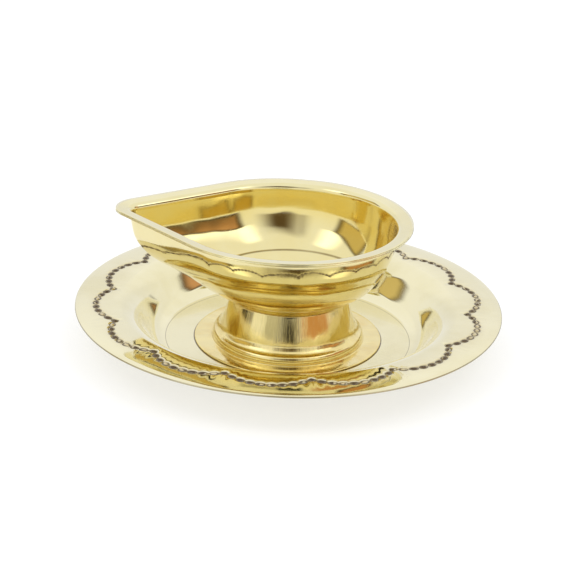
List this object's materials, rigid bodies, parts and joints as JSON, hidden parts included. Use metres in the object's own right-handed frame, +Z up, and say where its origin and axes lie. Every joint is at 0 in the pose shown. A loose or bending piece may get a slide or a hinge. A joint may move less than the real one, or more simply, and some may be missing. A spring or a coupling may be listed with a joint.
{
  "type": "diya oil lamp",
  "caption": "Footed brass oil lamp: a teardrop bowl with a pouring-lip spout for the wick, on a waisted pedestal in a round rimmed drip plate.",
  "frame": {"origin": "centre of the plate's underside, on the surface the lamp stands on", "axes": "+Z up along the lamp's axis, -X towards the bowl's spout, +Y to the right of the spout seen from the back of the bowl looking along -X"},
  "size_m": [0.127, 0.127, 0.0382],
  "materials": {
    "polished_brass": "mirror polished, fine scratches",
    "spun_brass": "polished, with faint upright brush marks",
    "plate_brass": "polished rim, satin floor, dark patina in the punched rings",
    "turned_brass": "as turned, slightly dull",
    "braze": "rough cast surface of a brazed fillet",
    "spring_steel": "zinc grey"
  },
  "bodies": {
    "root": {"bowl": "polished_brass", "centre_stud": "turned_brass", "braze_fillet": "braze", "pedestal": "spun_brass", "plate": "plate_brass", "flat_washer": "turned_brass", "spring_washer": "spring_steel", "hex_nut": "turned_brass"}
  },
  "joints": []
}
